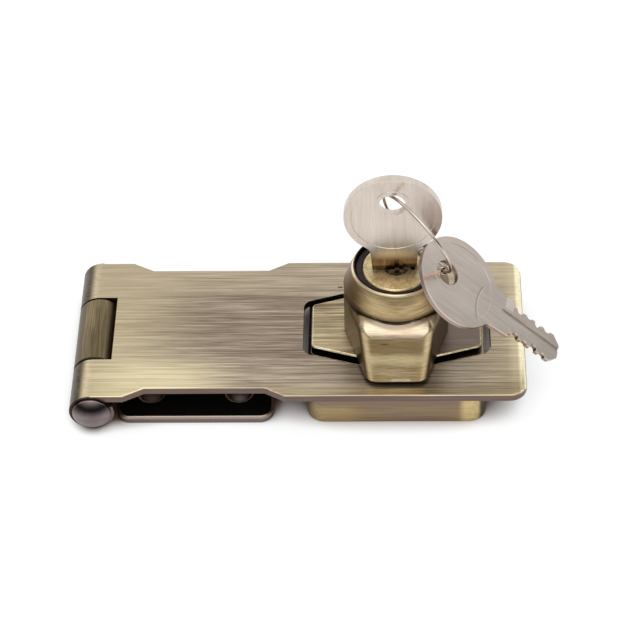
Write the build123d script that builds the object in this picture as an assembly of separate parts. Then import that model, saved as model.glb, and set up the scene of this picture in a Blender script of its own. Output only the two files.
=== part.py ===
from build123d import *
import os
from math import cos, radians, sin, sqrt

# Twist-knob locking hasp with two keys on a wire ring, in millimetres
# Origin: knob axis at the mounting plane. +X to the strap's free end, +Z away from the mounting plane

# Places along the hasp, measured from the knob's axis
hinge_distance = 67.8
free_end_distance = 28.8

# Strap
strap_width = 42.6
strap_thickness = 1.8
strap_corner_radius = 4.0
strap_edge_radius = 0.35
strap_end_radius = 1.2
neck_width = 37.6
neck_start = 7.1
neck_start_taper = 4.7
neck_end = 38.5
neck_end_taper = 4.5

# Hinge
knuckle_radius = 5.0
curl_wrap = 290.0
centre_knuckle_width = 18.8
knuckle_side_gap = 0.45
swing_clearance = 0.12
pin_clearance = 0.05
pin_head_radius = 4.25
pin_head_height = 2.5
pin_head_rim = 0.5
pin_head_gap = 0.1

# Hinge leaf and its screw holes, measured from the hinge axis along the leaf
leaf_width = 40.0
leaf_thickness = 1.8
leaf_reach = 40.2
leaf_corner_radius = 3.0
leaf_edge_gap = 0.2
leaf_edge_chamfer = 0.4
leaf_hole_first = 12.6
leaf_hole_spacing_x = 19.8
leaf_hole_spacing_y = 24.4
leaf_screw_radius = 1.9
leaf_sink_radius = 3.2

# Slot in the strap, an elongated hexagon with its long way along X
slot_half_length = 21.0
slot_end_half = 8.1
slot_middle_half = 14.6
slot_corner_radius = 2.4

# Lock base: a block under the strap with a boss that stands in the slot
base_length = 39.8
base_width = 39.6
base_corner_radius = 4.0
base_edge_radius = 0.5
strap_seat_gap = 0.1
boss_gap = 1.9
boss_corner_radius = 1.2
boss_stand = 0.7
boss_edge_chamfer = 0.3
base_hole_end_distance = 4.9
base_hole_side_distance = 5.3
base_hole_spacing_x = base_length - 2 * base_hole_end_distance
base_hole_spacing_y = base_width - 2 * base_hole_side_distance
base_screw_radius = 2.1
base_sink_radius = 3.8
base_recess_depth = 4.0
base_recess_radius = 12.4

# Knob: a crosswise foot, a round barrel above it and a hollow spigot below it
foot_inset = 2.4
foot_end_inset = 2.8
foot_corner_radius = 2.6
foot_top_corner_radius = 3.5
foot_apex_radius = 8.0
foot_clearance = 0.3
foot_rise = 12.2
foot_top_half_length = 12.8
foot_shoulder_radius = 3.2
foot_bottom_chamfer = 0.15
barrel_radius = 11.7
barrel_root_height = 1.6
barrel_root_taper = 0.4
barrel_straight = 0.8
barrel_height = 6.55
barrel_bulge = 0.12
rim_radius = 9.75
rim_edge_radius = 0.45
rim_bevel = 0.25
spigot_radius = 9.0
spigot_clearance = 0.05
cam_chamber_radius = 7.0
cam_chamber_height = 4.9
knob_web = 1.5
channel_end_clearance = 0.5

# Lock cylinder: fixed shell, turning plug
shell_radius = 8.95
shell_fit_clearance = 0.03
plug_head_radius = 7.6
plug_head_height = 2.0
plug_head_clearance = 0.08
plug_radius = 5.95
plug_clearance = 0.05
plug_face_drop = 0.8
shell_face_drop = 1.0
plug_face_chamfer = 0.35
shell_face_chamfer = 0.15
race_end_clearance = 1.6
race_side_clearance = 0.2
race_margin = 1.2
dish_radius = 2.95
dish_depth = 1.0
tail_collar_radius = 3.4
tail_square = 3.0
tail_end_gap = 0.2

# Wafers and their springs
wafer_count = 5
wafer_pitch = 2.2
wafer_thickness = 1.0
wafer_length = 10.4
wafer_width = 5.2
wafer_slot_clearance = 0.05
wafer_ear_width = 1.2
wafer_ear_reach = 1.4
first_wafer_drop = 3.7
spring_radius = 0.5
spring_room = 3.4
spring_end_gap = 0.02
spring_pocket_clearance = 0.1
spring_turns = 4
spring_wave = 0.12

# Cam disc with a spiral groove, its screw, and the locking bolt it drives
cam_radius = 6.85
cam_thickness = 2.5
cam_gap = 0.15
cam_turn = 90.0
bolt_travel = 2.0
bolt_pin_radius = 0.8
bolt_pin_path_start = 3.6
bolt_pin_height = 1.6
bolt_pin_clearance = 0.1
bolt_width = 4.0
bolt_height = 2.9
bolt_tail = 1.5
bolt_set_back = 0.1
bolt_clearance = 0.05
bolt_nose_radius = 0.6
bolt_pin_root = 0.5
bolt_pin_end_gap = 0.2
bolt_notch_width = 4.5
bolt_notch_clearance = 0.5
cam_screw_head_radius = 1.9
cam_screw_head_height = 1.0
cam_screw_radius = 0.8
cam_screw_length = 4.0
cam_screw_slot_width = 0.5
cam_screw_slot_depth = 0.4
cam_screw_set_back = 0.1
cam_sink_clearance = 0.15
cam_square_clearance = 0.03

# Hardware that holds the knob in the base, from the recess's ceiling down
spring_washer_height = 0.6
spring_washer_sheet = 0.35
spring_washer_inner = 7.8
spring_washer_outer = 11.2
stop_washer_thickness = 1.0
stop_washer_radius = 11.8
stop_lug_reach = 2.2
stop_lug_angle = 16.0
stop_turn = 90.0
stop_gap_angle = 1.0
stop_pocket_clearance = 0.4
spigot_end_radius = 7.5
spigot_flat = 6.4
washer_fit_clearance = 0.1
clip_thickness = 0.8
clip_groove_depth = 0.9
clip_radius = 9.2
clip_opening = 60.0
clip_fit_clearance = 0.05
stack_gap = 0.05
spigot_end_height = 0.8

# Keys
bow_radius = 10.7
key_thickness = 2.0
bow_rim = 1.6
bow_recess = 0.12
key_hole_radius = 2.95
key_hole_rim = 1.0
key_hole_offset = 3.6
shank_reach = 15.3
shank_root_half = 5.9
shank_end_half = 4.85
neck_fillet_radius = 2.5
stop_cut_length = 2.3
stop_cut_width = 3.0
stop_cut_depth = 0.45
blade_length = 14.1
blade_half_width = 3.6
blade_thickness = 1.8
blade_tip_half = 1.7
blade_tip_length = 2.0
blade_groove_width = 1.0
blade_groove_depth = 0.4
blade_groove_start = 12.4
blade_groove_offset = 0.5
blade_cut_depths = (0.9, 0.5, 1.2, 0.7)
blade_cut_radius = 0.9
keyway_end_gap = 0.4
keyway_face_clearance = 0.15
keyway_edge_clearance = 0.45
key_seat_gap = 0.14
key_lean = 1.4
key_shift = 0.36

# Spare key hanging from the ring: its bow from the first key's bow, and its tip's and face's ways
spare_key_offset = (13.88, -9.06, -11.87)
spare_key_way = (0.7444, -0.0859, -0.6622)
spare_key_face = (0.6352, -0.215, 0.7418)

# Wire ring through both key holes, with a close-wound coil. Its middle is measured from the first key's hole
ring_offset = (5.31, -2.42, -6.83)
ring_normal = (-0.7487, -0.5711, -0.3366)
ring_start = (-0.0036, 0.5112, -0.8594)
ring_radius = 10.8
ring_wire_radius = 0.37
coil_radius = 1.11
coil_angle = 58.0

# Heights that follow from the sizes above
hinge_x = -hinge_distance
hinge_z = knuckle_radius
strap_top_z = hinge_z + knuckle_radius
strap_bottom_z = strap_top_z - strap_thickness
base_top_z = strap_bottom_z - strap_seat_gap
boss_top_z = strap_top_z + boss_stand
foot_bottom_z = boss_top_z + foot_clearance
foot_top_z = foot_bottom_z + foot_rise
rim_z = foot_top_z + barrel_height
plug_face_z = rim_z - plug_face_drop
shell_top_z = rim_z - shell_face_drop
shell_bottom_z = foot_bottom_z + knob_web
chamber_floor_z = shell_bottom_z - cam_chamber_height
channel_floor_z = chamber_floor_z - bolt_height - 2 * bolt_clearance
cam_bottom_z = chamber_floor_z + cam_gap
cam_top_z = cam_bottom_z + cam_thickness
pin_radius = knuckle_radius - strap_thickness - pin_clearance
far = 200.0


def ring_solid(outer, inner, low, high):
    """Round ring between two heights."""
    tall = high - low
    ring = Cylinder(outer, tall) - Cylinder(inner, tall + 1)
    return Pos(0, 0, (low + high) / 2) * ring


def disc(radius, low, high):
    """Round disc between two heights."""
    return Pos(0, 0, (low + high) / 2) * Cylinder(radius, high - low)


def block(x_span, y_span, z_span):
    """Box between pairs of coordinates."""
    spans = (x_span, y_span, z_span)
    middle = Pos(*[(low + high) / 2 for low, high in spans])
    return middle * Box(*[high - low for low, high in spans])


def along_y(face, low, high):
    """Prism of a face drawn in X and Z, between two values of Y."""
    return Pos(0, low, 0) * extrude(Plane.XZ * face, -(high - low))


def sector(radius, start, sweep, low, high):
    """Wedge of a disc, between two heights."""
    steps = [start + sweep * part / 6 for part in range(7)]
    rim = [(radius * cos(radians(a)), radius * sin(radians(a))) for a in steps]
    wedge = make_face(Polyline((0, 0), *rim, close=True))
    return Pos(0, 0, low) * extrude(wedge, high - low)


def lozenge(inset, corner_radius, apex_radius):
    """Hexagon of the strap's slot, drawn in by an inset on all sides."""
    slope = (slot_middle_half - slot_end_half) / slot_half_length
    rise = sqrt(1 + slope**2)
    length = slot_half_length - inset
    end = slot_end_half - inset * (rise - slope)
    middle = slot_middle_half - inset * rise
    quarter = [(length, end), (0, middle), (-length, end)]
    outline = quarter + [(-x, -y) for x, y in quarter]
    face = make_face(Polyline(*outline, close=True))
    face = fillet([v for v in face.vertices() if abs(v.X) > length / 2], corner_radius)
    return fillet([v for v in face.vertices() if abs(v.X) < length / 100], apex_radius)


def screw_hole(radius, sink_radius, top_z):
    """Through hole with a right-angled countersink in the face above it."""
    drill = disc(radius, -1, top_z + 1)
    depth = sink_radius - radius
    sink = Pos(0, 0, top_z - depth / 2) * Cone(radius, sink_radius, depth)
    return drill + sink


def four_holes(centre_x, spacing_x, spacing_y, hole):
    """The same hole at the four corners of a rectangle."""
    corners = GridLocations(spacing_x, spacing_y, 2, 2)
    return [Pos(centre_x, 0, 0) * corner * hole for corner in corners]


# Strap and hinge

def strap_outline():
    """Flat outline of the strap with its drawn-in neck."""
    half, neck = strap_width / 2, neck_width / 2
    side = [
        (hinge_x, half),
        (hinge_x + neck_start, half),
        (hinge_x + neck_start + neck_start_taper, neck),
        (hinge_x + neck_end, neck),
        (hinge_x + neck_end + neck_end_taper, half),
        (free_end_distance, half),
    ]
    outline = side + [(x, -y) for x, y in reversed(side)]
    face = make_face(Polyline(*outline, close=True))
    ends = [v for v in face.vertices() if v.X > free_end_distance - 0.01]
    return fillet(ends, strap_corner_radius)


def knuckle_curl():
    """Sheet curled round the pin, drawn in X and Z about the hinge axis."""
    ring = Circle(knuckle_radius) - Circle(knuckle_radius - strap_thickness)
    open_angle = 360.0 - curl_wrap
    reach = 2 * knuckle_radius
    start = radians(90.0 - open_angle)
    middle = radians(90.0 - open_angle / 2)
    mouth = make_face(Polyline(
        (0, 0),
        (reach * cos(start), reach * sin(start)),
        (reach * cos(middle), reach * sin(middle)),
        (0, reach),
        close=True,
    ))
    return Pos(hinge_x, hinge_z) * (ring - mouth)


def end_rounding():
    """What the soft round along the free end takes away."""
    x = free_end_distance - strap_end_radius
    z = strap_top_z - strap_end_radius
    corner = block((x, x + 2 * strap_end_radius), (-far, far), (z, z + 2 * strap_end_radius))
    return corner - along_y(Pos(x, z) * Circle(strap_end_radius), -far, far)


def hinge_strap():
    """Folded sheet: plate, slot and the two outer knuckles."""
    plate = Pos(0, 0, strap_bottom_z) * extrude(strap_outline(), strap_thickness)
    top_edges = plate.faces().sort_by(Axis.Z)[-1].edges()
    plate = fillet([e for e in top_edges if e.center().X > hinge_x + 0.01], strap_edge_radius)
    plate = plate - end_rounding()
    slot = Pos(0, 0, strap_bottom_z - 1) * extrude(
        lozenge(0, slot_corner_radius, slot_corner_radius), strap_thickness + 2)
    inner = centre_knuckle_width / 2 + knuckle_side_gap
    lift = knuckle_radius - strap_thickness
    notch_reach = sqrt((knuckle_radius + swing_clearance)**2 - lift**2)
    notch = block((hinge_x - knuckle_radius, hinge_x + notch_reach), (-inner, inner),
                  (strap_bottom_z - 1, strap_top_z + 1))
    plate = plate - slot - notch
    for low in (-strap_width / 2, inner):
        plate = plate + along_y(knuckle_curl(), low, low + strap_width / 2 - inner)
    return plate


def hinge_leaf():
    """Fixed leaf: countersunk plate and the centre knuckle."""
    half = centre_knuckle_width / 2
    start = hinge_x + knuckle_radius + leaf_edge_gap
    end = hinge_x + leaf_reach
    plate = block((start, end), (-leaf_width / 2, leaf_width / 2), (0, leaf_thickness))
    plate = fillet(plate.edges().filter_by(Axis.Z), leaf_corner_radius)
    plate = chamfer(plate.faces().sort_by(Axis.Z)[-1].edges(), leaf_edge_chamfer)
    web = block((hinge_x, start + leaf_corner_radius), (-half, half), (0, leaf_thickness))
    barrel = Circle(knuckle_radius) - Circle(pin_radius + pin_clearance)
    barrel = Pos(hinge_x, hinge_z) * barrel
    knuckle = along_y(barrel, -half, half)
    bore = along_y(Pos(hinge_x, hinge_z) * Circle(pin_radius + pin_clearance), -far, far)
    leaf = plate + web + knuckle - bore
    hole = screw_hole(leaf_screw_radius, leaf_sink_radius, leaf_thickness)
    middle = hinge_x + leaf_hole_first + leaf_hole_spacing_x / 2
    for cut in four_holes(middle, leaf_hole_spacing_x, leaf_hole_spacing_y, hole):
        leaf = leaf - cut
    return leaf


def hinge_pin():
    """Pin with a domed head at each end."""
    end = strap_width / 2 + pin_head_gap
    edge = end + pin_head_rim
    crown = end + pin_head_height
    rise = crown - edge
    sphere = (pin_head_radius**2 + rise**2) / (2 * rise)
    halfway = crown - sphere + sqrt(sphere**2 - pin_head_radius**2 / 4)
    outline = (
        Polyline((0, crown), (0, end), (pin_head_radius, end), (pin_head_radius, edge))
        + ThreePointArc((pin_head_radius, edge), (pin_head_radius / 2, halfway), (0, crown))
    )
    head = revolve(Plane.XZ * make_face(outline), Axis.Z)
    pin = disc(pin_radius, -end, end) + head + Rot(180, 0, 0) * head
    return Pos(hinge_x, 0, hinge_z) * Rot(90, 0, 0) * pin


# Lock base

def stop_pocket():
    """Arc-shaped room in which the stop washer's lug swings."""
    radius = stop_washer_radius + stop_lug_reach + stop_pocket_clearance
    start = -stop_lug_angle / 2 - stop_gap_angle
    sweep = stop_turn + stop_lug_angle + 2 * stop_gap_angle
    return sector(radius, start, sweep, -1, base_recess_depth)


def bolt_notches():
    """Two notches in the bore, a quarter turn apart, open to the recess below."""
    reach = spigot_radius + bolt_travel + bolt_notch_clearance
    half = bolt_notch_width / 2
    notch = block((0, reach), (-half, half), (base_recess_depth - 1, chamber_floor_z + bolt_clearance))
    return notch + Rot(0, 0, 90) * notch


def lock_base():
    """Block and boss with the knob's bearing bore and the recess behind it."""
    foot = block((-base_length / 2, base_length / 2), (-base_width / 2, base_width / 2),
                 (0, base_top_z))
    foot = fillet(foot.edges().filter_by(Axis.Z), base_corner_radius)
    foot = fillet(foot.faces().sort_by(Axis.Z)[-1].edges(), base_edge_radius)
    boss = extrude(lozenge(boss_gap, boss_corner_radius, boss_corner_radius), boss_top_z)
    boss = chamfer(boss.faces().sort_by(Axis.Z)[-1].edges(), boss_edge_chamfer)
    bore = disc(spigot_radius + spigot_clearance, -1, boss_top_z + 1)
    recess = disc(base_recess_radius, -1, base_recess_depth)
    base = foot + boss - bore - recess - stop_pocket() - bolt_notches()
    hole = screw_hole(base_screw_radius, base_sink_radius, base_top_z)
    for cut in four_holes(0, base_hole_spacing_x, base_hole_spacing_y, hole):
        base = base - cut
    return base


# Knob

def foot_section(half_length, corner_radius, height):
    """Hexagon of the foot at one height. Its four side planes are the same at every height."""
    slope = (slot_middle_half - slot_end_half) / slot_half_length
    middle = slot_middle_half - foot_inset * sqrt(1 + slope**2)
    end = middle - slope * half_length
    half = [(end, half_length), (-end, half_length), (-middle, 0)]
    outline = half + [(-x, -y) for x, y in half]
    face = make_face(Polyline(*outline, close=True))
    face = fillet([v for v in face.vertices() if abs(v.Y) > half_length / 2], corner_radius)
    face = fillet([v for v in face.vertices() if abs(v.Y) < half_length / 100], foot_apex_radius)
    return Pos(0, 0, height) * face


def knob_foot():
    """Crosswise foot whose front and back faces lean in towards the barrel."""
    bottom = foot_section(slot_half_length - foot_end_inset, foot_corner_radius, foot_bottom_z)
    top = foot_section(foot_top_half_length, foot_top_corner_radius, foot_top_z)
    foot = loft([bottom, top], ruled=True)
    foot = fillet(foot.faces().sort_by(Axis.Z)[-1].edges(), foot_shoulder_radius)
    return chamfer(foot.faces().sort_by(Axis.Z)[0].edges(), foot_bottom_chamfer)


def knob_barrel():
    """Turned barrel that narrows in a bulging curve to the rim."""
    root = foot_bottom_z + barrel_root_height
    start = foot_top_z + barrel_straight
    edge = rim_z - rim_edge_radius
    middle_r = (barrel_radius + rim_radius) / 2 + barrel_bulge
    profile = (
        Polyline((0, root), (barrel_radius - barrel_root_taper, root),
                 (barrel_radius, foot_top_z), (barrel_radius, start))
        + ThreePointArc((barrel_radius, start), (middle_r, (start + edge) / 2), (rim_radius, edge))
        + Polyline((rim_radius, edge), (rim_radius - rim_edge_radius, rim_z), (0, rim_z), (0, root))
    )
    return revolve(Plane.XZ * make_face(profile), Axis.Z)


def spigot():
    """Bearing spigot with flats, clip groove, cam chamber and bolt channel."""
    body = disc(spigot_radius, base_recess_depth, foot_bottom_z)
    end = disc(spigot_end_radius, spigot_end_height, base_recess_depth)
    end = end & block((-far, far), (-spigot_flat, spigot_flat), (0, far))
    clip_top = base_recess_depth - spring_washer_height - stop_washer_thickness - stack_gap
    groove = ring_solid(far, spigot_end_radius - clip_groove_depth,
                        clip_top - clip_thickness - 2 * stack_gap, clip_top)
    half = bolt_width / 2 + bolt_clearance
    channel = block((-bolt_tail - channel_end_clearance, spigot_radius + 1), (-half, half),
                    (channel_floor_z, chamber_floor_z + 1))
    return body + (end - groove) - channel


def knob():
    """One casting: foot, barrel and spigot, bored for the cylinder and the cam."""
    shell_bore = disc(shell_radius + shell_fit_clearance, shell_bottom_z, rim_z + 1)
    bevel_height = rim_z - shell_top_z
    flare = Pos(0, 0, rim_z - bevel_height / 2) * Cone(
        shell_radius + shell_fit_clearance, shell_radius + rim_bevel, bevel_height)
    chamber = disc(cam_chamber_radius, chamber_floor_z, shell_bottom_z + 1)
    return knob_foot() + knob_barrel() + spigot() - shell_bore - flare - chamber


def cylinder_shell():
    """Sleeve fixed in the knob, bored in two steps for the plug."""
    outside = disc(shell_radius, shell_bottom_z, shell_top_z)
    outside = chamfer(outside.faces().sort_by(Axis.Z)[-1].edges(), shell_face_chamfer)
    head_floor = plug_face_z - plug_head_height - stack_gap
    head_bore = disc(plug_head_radius + plug_head_clearance, head_floor, shell_top_z + 1)
    body_bore = disc(plug_radius + plug_clearance, shell_bottom_z - 1, shell_top_z + 1)
    race_x = wafer_length / 2 + race_end_clearance
    race_y = wafer_width / 2 + race_side_clearance
    races = block((-race_x, race_x), (-race_y, race_y),
                  (shell_bottom_z + race_margin, head_floor - race_margin))
    return outside - head_bore - body_bore - races


# Plug, wafers and springs

def wafer_heights():
    """Middle height of each wafer, from the face down."""
    top = plug_face_z - first_wafer_drop
    return [top - wafer_pitch * place for place in range(wafer_count)]


def wafer_outline(grow):
    """Wafer plate with the ear that its spring pushes, grown by a clearance."""
    plate = Rectangle(wafer_length + 2 * grow, wafer_width + 2 * grow)
    end = wafer_width / 2 + wafer_ear_reach + grow
    ear = Pos(-wafer_ear_width, end / 2) * Rectangle(wafer_ear_width + 2 * grow, end)
    return plate + ear


def keyway_outline():
    """Room for the blade, with play for the key's lean."""
    return Rectangle(2 * (blade_half_width + keyway_edge_clearance),
                     blade_thickness + 2 * keyway_face_clearance)


def wafer(middle_z):
    """Wafer whose window clears the whole blade."""
    face = wafer_outline(0) - keyway_outline()
    return Pos(0, 0, middle_z - wafer_thickness / 2) * extrude(face, wafer_thickness)


def spring_span():
    """Ends along X of the pocket that holds a wafer's spring."""
    start = -wafer_ear_width / 2
    return start, start + spring_room


def wafer_spring(middle_z):
    """Small coil spring between a wafer's ear and the plug."""
    start, end = spring_span()
    start = start + spring_end_gap
    end = end - spring_end_gap
    step = (end - start) / (2 * spring_turns)
    wave = [(start + step * place, spring_radius - spring_wave * (place % 2))
            for place in range(2 * spring_turns + 1)]
    profile = make_face(Polyline((start, 0), *wave, (end, 0), close=True))
    offset_y = wafer_width / 2 + wafer_ear_reach / 2
    return Pos(0, offset_y, middle_z) * revolve(profile, Axis.X)


def plug():
    """Turning plug: head, body, keyway, wafer slots, spring pockets and square tail."""
    head = disc(plug_head_radius, plug_face_z - plug_head_height, plug_face_z)
    head = chamfer(head.faces().sort_by(Axis.Z)[-1].edges(), plug_face_chamfer)
    body = disc(plug_radius, shell_bottom_z + stack_gap, plug_face_z - plug_head_height / 2)
    collar = disc(tail_collar_radius, cam_top_z, shell_bottom_z + 1)
    half = tail_square / 2
    tail = block((-half, half), (-half, half),
                 (cam_bottom_z + cam_screw_head_height + tail_end_gap, cam_top_z + 1))
    solid = head + body + collar + tail
    keyway_depth = blade_length + keyway_end_gap
    keyway = Pos(0, 0, plug_face_z - keyway_depth) * extrude(keyway_outline(), keyway_depth + 1)
    dish = Pos(0, 0, plug_face_z - dish_depth / 2) * Cone(
        dish_radius - dish_depth, dish_radius, dish_depth)
    solid = solid - keyway - dish
    slot_face = wafer_outline(wafer_slot_clearance)
    start, end = spring_span()
    pocket_y = wafer_width / 2 + wafer_ear_reach / 2
    pocket_half = spring_radius + spring_pocket_clearance
    for middle in wafer_heights():
        tall = wafer_thickness / 2 + wafer_slot_clearance
        solid = solid - Pos(0, 0, middle - tall) * extrude(slot_face, 2 * tall)
        solid = solid - block((start - spring_pocket_clearance, end),
                              (pocket_y - pocket_half, pocket_y + pocket_half),
                              (middle - pocket_half, middle + pocket_half))
    screw_bore = disc(cam_screw_radius, cam_bottom_z, cam_bottom_z + tail_end_gap + cam_screw_length)
    return solid - screw_bore


# Cam, its screw and the locking bolt

def spiral_point(turned, side):
    """Point on the groove's edge after the plug has turned by some degrees."""
    radius = bolt_pin_path_start + bolt_travel * turned / cam_turn + side
    return radius * cos(radians(turned)), radius * sin(radians(turned))


def cam_groove():
    """Even spiral, so that the bolt moves in step with the plug's turn."""
    side = bolt_pin_radius + bolt_pin_clearance
    turns = [cam_turn * place / 12 for place in range(13)]
    outer = [spiral_point(turned, side) for turned in turns]
    inner = [spiral_point(turned, -side) for turned in reversed(turns)]
    band = make_face(Spline(*outer) + Line(outer[-1], inner[0]) + Spline(*inner)
                     + Line(inner[-1], outer[0]))
    for turned in (0, cam_turn):
        band = band + Pos(*spiral_point(turned, 0)) * Circle(side)
    return band


def cam_disc():
    """Disc on the plug's square tail with the spiral groove in its underside."""
    body = disc(cam_radius, cam_bottom_z, cam_top_z)
    groove = Pos(0, 0, cam_bottom_z - 1) * extrude(cam_groove(), 1 + bolt_pin_height)
    half = tail_square / 2 + cam_square_clearance
    square = block((-half, half), (-half, half), (cam_bottom_z - 1, cam_top_z + 1))
    sink = disc(cam_screw_head_radius + cam_screw_set_back, cam_bottom_z - 1,
                cam_bottom_z + cam_screw_head_height + cam_sink_clearance)
    return body - groove - square - sink


def cam_screw():
    """Screw that holds the cam disc on the plug's tail."""
    low = cam_bottom_z + cam_screw_set_back
    top = low + cam_screw_head_height
    head = disc(cam_screw_head_radius, low, top)
    half = cam_screw_slot_width / 2
    slot = block((-far, far), (-half, half), (low - 1, low + cam_screw_slot_depth))
    return head - slot + disc(cam_screw_radius, low + cam_screw_slot_depth, low + cam_screw_length)


def locking_bolt():
    """Bolt that slides out of the spigot, with the pin that rides in the spiral."""
    low = channel_floor_z + bolt_clearance
    high = low + bolt_height
    half = bolt_width / 2
    bar = block((-bolt_tail, spigot_radius - bolt_set_back), (-half, half), (low, high))
    nose = bar.faces().sort_by(Axis.X)[-1].edges().filter_by(Axis.Z)
    bar = fillet(nose, bolt_nose_radius)
    peg = disc(bolt_pin_radius, high - bolt_pin_root, cam_bottom_z + bolt_pin_height - bolt_pin_end_gap)
    return bar + Pos(bolt_pin_path_start, 0, 0) * peg


# Hardware behind the base

def spring_washer():
    """Sprung cone washer that takes up the knob's play."""
    high = base_recess_depth - stack_gap
    low = high - spring_washer_height + 2 * stack_gap
    cone = make_face(Polyline(
        (spring_washer_inner, low), (spring_washer_outer, high - spring_washer_sheet),
        (spring_washer_outer, high), (spring_washer_inner, low + spring_washer_sheet), close=True,
    ))
    return revolve(Plane.XZ * cone, Axis.Z)


def stop_washer():
    """Washer keyed to the spigot's flats, with the lug that ends the knob's turn."""
    high = base_recess_depth - spring_washer_height
    low = high - stop_washer_thickness
    lug = sector(stop_washer_radius + stop_lug_reach, -stop_lug_angle / 2, stop_lug_angle, low, high)
    hole = Circle(spigot_end_radius + washer_fit_clearance) & Rectangle(
        far, 2 * (spigot_flat + washer_fit_clearance))
    opening = Pos(0, 0, low - 1) * extrude(hole, stop_washer_thickness + 2)
    return disc(stop_washer_radius, low, high) + lug - opening


def retaining_clip():
    """Open spring clip in the spigot's groove."""
    high = base_recess_depth - spring_washer_height - stop_washer_thickness - 2 * stack_gap
    low = high - clip_thickness
    inner = spigot_end_radius - clip_groove_depth + clip_fit_clearance
    ring = ring_solid(clip_radius, inner, low, high)
    mouth = sector(clip_radius + 2, 180.0 - clip_opening / 2, clip_opening, low - 1, high + 1)
    return ring - mouth


# Keys and ring

def blade_outline():
    """Double-sided blade with rounded cuts, drawn from the shoulder to the tip."""
    end = shank_reach + blade_length
    side = [(shank_reach - 1, blade_half_width), (end - blade_tip_length, blade_half_width),
            (end, blade_tip_half)]
    outline = side + [(x, -y) for x, y in reversed(side)]
    face = make_face(Polyline(*outline, close=True))
    step = (blade_length - blade_tip_length) / (len(blade_cut_depths) + 0.5)
    for place, depth in enumerate(blade_cut_depths):
        along = shank_reach + step * (place + 0.75)
        for edge in (1, -1):
            out = blade_half_width + blade_cut_radius - depth
            face = face - Pos(along, edge * out) * Circle(blade_cut_radius)
    return face


def key_outline():
    """Round bow that runs into the shank through concave fillets."""
    side = [(0, shank_root_half), (shank_reach, shank_end_half)]
    shank = side + [(x, -y) for x, y in reversed(side)]
    outline = Circle(bow_radius) + make_face(Polyline(*shank, close=True))
    necks = [v for v in outline.vertices() if 0.1 < v.X < shank_reach - 0.1]
    return fillet(necks, neck_fillet_radius)


def key_blank():
    """Key lying flat: bow at the origin, tip along X."""
    half = key_thickness / 2
    hole_place = Pos(-key_hole_offset, 0)
    outline = key_outline() - hole_place * Circle(key_hole_radius)
    flat = Pos(0, 0, -half) * extrude(outline, key_thickness)
    blade = Pos(0, 0, -blade_thickness / 2) * extrude(blade_outline(), blade_thickness)
    blank = flat + blade
    recess = Circle(bow_radius - bow_rim) - hole_place * Circle(key_hole_radius + key_hole_rim)
    groove_end = shank_reach + blade_length + 1
    groove_length = groove_end - blade_groove_start
    groove = Pos(groove_end - groove_length / 2, blade_groove_offset) * Rectangle(
        groove_length, blade_groove_width)
    for face_side in (1, -1):
        floor = face_side * (half - bow_recess)
        blank = blank - Pos(0, 0, floor) * extrude(recess, face_side * key_thickness)
        bottom = face_side * (blade_thickness / 2 - blade_groove_depth)
        blank = blank - Pos(0, 0, bottom) * extrude(groove, face_side * key_thickness)
    low = shank_end_half - stop_cut_width
    stop_cut = block((shank_reach - stop_cut_length, shank_reach), (low, shank_root_half),
                     (half - stop_cut_depth, half + 1))
    return blank - stop_cut


def key_plane():
    """Key in the lock: tip down, face to the front, leaning within the keyway's play."""
    shoulder = Vector(-key_shift, 0, plug_face_z + key_seat_gap)
    way = Vector(sin(radians(key_lean)), 0, -cos(radians(key_lean)))
    return Plane(origin=shoulder - way * shank_reach, x_dir=way, z_dir=(0, -1, 0))


def spare_key_plane():
    """Spare key as it hangs beside the knob."""
    middle = key_plane().origin + Vector(*spare_key_offset)
    return Plane(origin=middle, x_dir=spare_key_way, z_dir=spare_key_face)


def ring_plane():
    """Plane of the ring, which passes through both key holes."""
    hole = key_plane().from_local_coords(Vector(-key_hole_offset, 0, 0))
    return Plane(origin=hole + Vector(*ring_offset), x_dir=ring_start, z_dir=ring_normal)


def key_ring():
    """Round wire, with the close-wound coil as a sleeve round a part of it."""
    section = Pos(ring_radius, 0, 0) * (Plane.XZ * Circle(coil_radius))
    sleeve = revolve(section, Axis.Z, coil_angle)
    return ring_plane().location * (Torus(ring_radius, ring_wire_radius) + sleeve)


def build_nodes():
    """Every sub-part by the name of its node."""
    nodes = {
        "hinge_leaf": hinge_leaf(),
        "hinge_pin": hinge_pin(),
        "hinge_strap": hinge_strap(),
        "lock_base": lock_base(),
        "knob": knob(),
        "cylinder_shell": cylinder_shell(),
        "spring_washer": spring_washer(),
        "stop_washer": stop_washer(),
        "retaining_clip": retaining_clip(),
        "plug": plug(),
        "cam_disc": cam_disc(),
        "cam_screw": cam_screw(),
        "locking_bolt": locking_bolt(),
        "key": key_plane().location * key_blank(),
        "spare_key": spare_key_plane().location * key_blank(),
        "key_ring": key_ring(),
    }
    heights = wafer_heights()
    for place, middle in enumerate(heights, start=1):
        nodes[f"wafer_{place}"] = wafer(middle)
    nodes["wafer_springs"] = Compound([wafer_spring(middle) for middle in heights])
    return nodes


os.makedirs("parts", exist_ok=True)
for node_name, shape in build_nodes().items():
    export_step(shape, f"parts/{node_name}.step")
    print(node_name, round(shape.volume, 2))
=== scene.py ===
import math
import bpy
import bmesh
from mathutils import Matrix, Vector


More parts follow.
